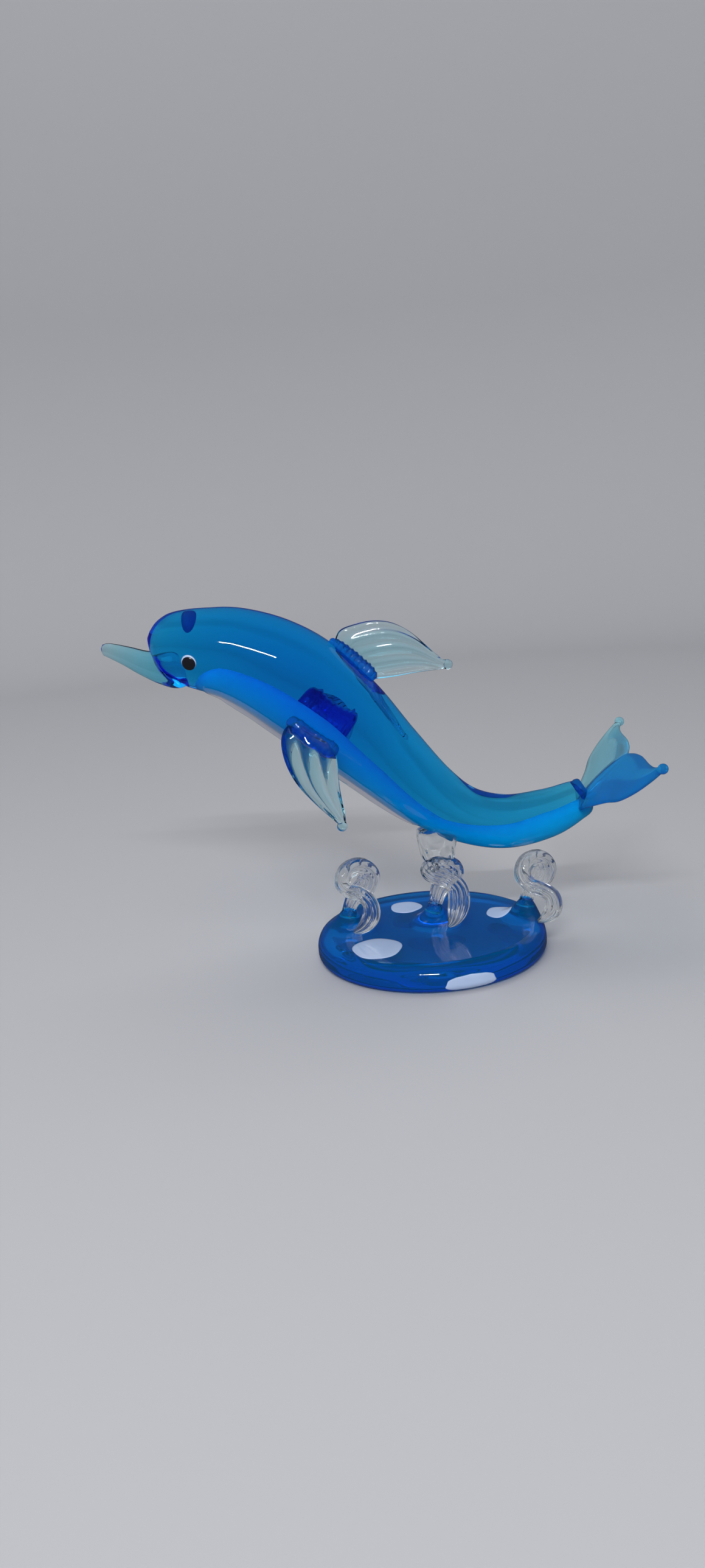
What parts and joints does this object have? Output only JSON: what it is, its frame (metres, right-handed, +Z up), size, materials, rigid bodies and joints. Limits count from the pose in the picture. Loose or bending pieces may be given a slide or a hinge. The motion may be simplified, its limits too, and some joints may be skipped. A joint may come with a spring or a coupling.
{
  "type": "glass dolphin figurine",
  "caption": "Blue glass dolphin leaping over clear curled waves on a round blue glass base with white spots; stands on its flat underside.",
  "frame": {"origin": "centre of the round base's flat underside", "axes": "+Z up, -X the way the dolphin's head points, Y across, with the dolphin's middle plane at Y = 0"},
  "size_m": [0.1169, 0.052, 0.0811],
  "materials": {
    "teal_glass": "transparent teal blue, fire-polished gloss",
    "belly_blue_glass": "dense bright blue, fire-polished gloss",
    "aqua_clear_glass": "transparent pale aqua, fire-polished gloss",
    "cobalt_glass": "transparent cobalt blue, crimped, gloss",
    "base_blue_glass": "transparent deep blue, fire-polished gloss",
    "clear_glass": "colourless, ribbed, fire-polished gloss",
    "fluke_blue_glass": "transparent streaky blue, gloss",
    "white_glass": "opaque opal white, gloss",
    "black_glass": "opaque black, gloss"
  },
  "bodies": {
    "root": {"body": "teal_glass", "belly_inlay": "belly_blue_glass", "belly_strip": "clear_glass", "beak": "aqua_clear_glass", "left_eye_white": "white_glass", "left_eye_pupil": "black_glass", "right_eye_white": "white_glass", "right_eye_pupil": "black_glass", "dorsal_fin": "aqua_clear_glass", "dorsal_fin_weld": "cobalt_glass", "left_pectoral_fin": "aqua_clear_glass", "left_pectoral_weld": "cobalt_glass", "right_pectoral_fin": "aqua_clear_glass", "right_pectoral_weld": "cobalt_glass", "tail_weld": "cobalt_glass", "left_fluke": "fluke_blue_glass", "right_fluke": "fluke_blue_glass", "support_pad": "clear_glass", "base_disc": "base_blue_glass", "spot_front_left": "white_glass", "spot_back_left": "white_glass", "spot_back_right": "white_glass", "spot_front_rim": "white_glass", "left_wave_root": "base_blue_glass", "middle_wave_root": "base_blue_glass", "right_wave_root": "base_blue_glass", "left_wave_curl": "clear_glass", "middle_wave_curl": "clear_glass", "right_wave_curl": "clear_glass"}
  },
  "joints": []
}
